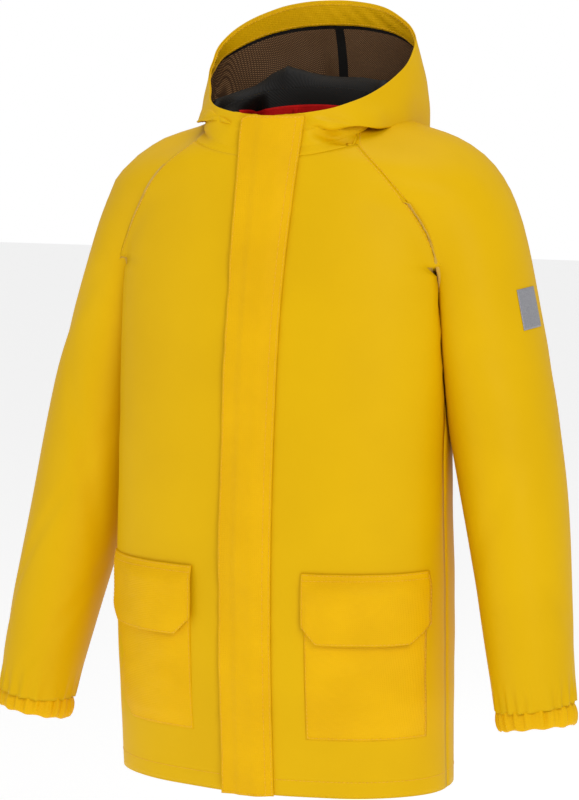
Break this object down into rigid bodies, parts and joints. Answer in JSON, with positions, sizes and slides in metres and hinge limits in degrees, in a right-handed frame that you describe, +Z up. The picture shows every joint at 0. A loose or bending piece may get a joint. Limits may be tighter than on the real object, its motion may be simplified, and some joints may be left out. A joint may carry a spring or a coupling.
{
  "type": "foul weather jacket",
  "caption": "Hooded waterproof jacket with raglan sleeves, storm flap over a front zip, flapped patch pockets, gathered cuffs and a hanger loop.",
  "frame": {"origin": "middle of the neck opening, level with the neck seam at the centre back", "axes": "+Z up, +X to the wearer's left, the front faces -Y"},
  "size_m": [0.7346, 0.341, 0.9266],
  "materials": {
    "coated_shell": "satin",
    "woven_trim": "satin",
    "mesh_lining": "matt",
    "stand_lining": "matt",
    "red_tape": "matt",
    "snap_metal": "satin",
    "zip_metal": "satin",
    "zip_tape": "matt",
    "zip_teeth": "satin",
    "elastic": "matt",
    "label_cloth": "matt",
    "reflective_label": "satin"
  },
  "bodies": {
    "shell": {"front_panel_left": "coated_shell", "front_panel_right": "coated_shell", "back_panel": "coated_shell", "hem_facing": "woven_trim", "shoulder_left": "coated_shell", "shoulder_right": "coated_shell", "zip_tape_left": "zip_tape", "zip_tape_right": "zip_tape", "zip_teeth_left": "zip_teeth", "zip_teeth_right": "zip_teeth", "zip_bottom_stop": "zip_metal", "flap_stud_1": "snap_metal", "flap_stud_2": "snap_metal", "flap_stud_3": "snap_metal", "flap_stud_4": "snap_metal", "flap_stud_5": "snap_metal", "pocket_bag_left": "woven_trim", "pocket_bag_right": "woven_trim", "pocket_stud_left": "snap_metal", "pocket_stud_right": "snap_metal", "neck_stand": "stand_lining", "collar_front_left": "coated_shell", "collar_front_right": "coated_shell", "neck_tape": "red_tape", "neck_label": "label_cloth"},
    "storm_flap": {"storm_flap": "woven_trim", "flap_socket_1": "snap_metal", "flap_socket_2": "snap_metal", "flap_socket_3": "snap_metal", "flap_socket_4": "snap_metal", "flap_socket_5": "snap_metal"},
    "zip_slider": {"zip_slider": "zip_metal", "zip_pull": "zip_metal"},
    "pocket_flap_left": {"pocket_flap_left": "woven_trim", "pocket_socket_left": "snap_metal"},
    "pocket_flap_right": {"pocket_flap_right": "woven_trim", "pocket_socket_right": "snap_metal"},
    "sleeve_left": {"sleeve_left": "coated_shell", "cuff_casing_left": "woven_trim", "cuff_elastic_left": "elastic", "sleeve_label": "reflective_label"},
    "sleeve_right": {"sleeve_right": "coated_shell", "cuff_casing_right": "woven_trim", "cuff_elastic_right": "elastic"},
    "hood": {"hood_left": "coated_shell", "hood_right": "coated_shell", "hood_lining_left": "mesh_lining", "hood_lining_right": "mesh_lining", "hood_brim_left": "woven_trim", "hood_brim_right": "woven_trim"},
    "hanger_loop": {"hanger_loop": "red_tape"}
  },
  "joints": [
    {"name": "storm_flap_open", "type": "hinge", "parent": "shell", "child": "storm_flap", "pos_m": [0.0385, -0.1385, -0.387], "axis": [0, 0.068, 0.9977], "range_deg": [0, 110]},
    {"name": "zip_slider_travel", "type": "hinge", "parent": "shell", "child": "zip_slider", "pos_m": [0, 1.96, -0.53], "axis": [1, 0, 0], "range_deg": [0, 19]},
    {"name": "pocket_flap_left_lift", "type": "hinge", "parent": "shell", "child": "pocket_flap_left", "pos_m": [0.1476, -0.1188, -0.512], "axis": [-0.8412, -0.5408, 0], "range_deg": [0, 150]},
    {"name": "pocket_flap_right_lift", "type": "hinge", "parent": "shell", "child": "pocket_flap_right", "pos_m": [-0.1476, -0.1188, -0.512], "axis": [-0.8412, 0.5408, 0], "range_deg": [0, 150]},
    {"name": "sleeve_left_raise", "type": "hinge", "parent": "shell", "child": "sleeve_left", "pos_m": [0.19, 0.05, -0.096], "axis": [0, -1, 0], "range_deg": [0, 60]},
    {"name": "sleeve_right_raise", "type": "hinge", "parent": "shell", "child": "sleeve_right", "pos_m": [-0.19, 0.05, -0.096], "axis": [0, 1, 0], "range_deg": [0, 60]},
    {"name": "hood_lift", "type": "hinge", "parent": "shell", "child": "hood", "pos_m": [0, -0.056, -0.004], "axis": [1, 0, 0], "range_deg": [0, 30]},
    {"name": "hanger_loop_lift", "type": "hinge", "parent": "shell", "child": "hanger_loop", "pos_m": [0, 0.0875, 0.015], "axis": [-1, 0, 0], "range_deg": [0, 150]}
  ]
}
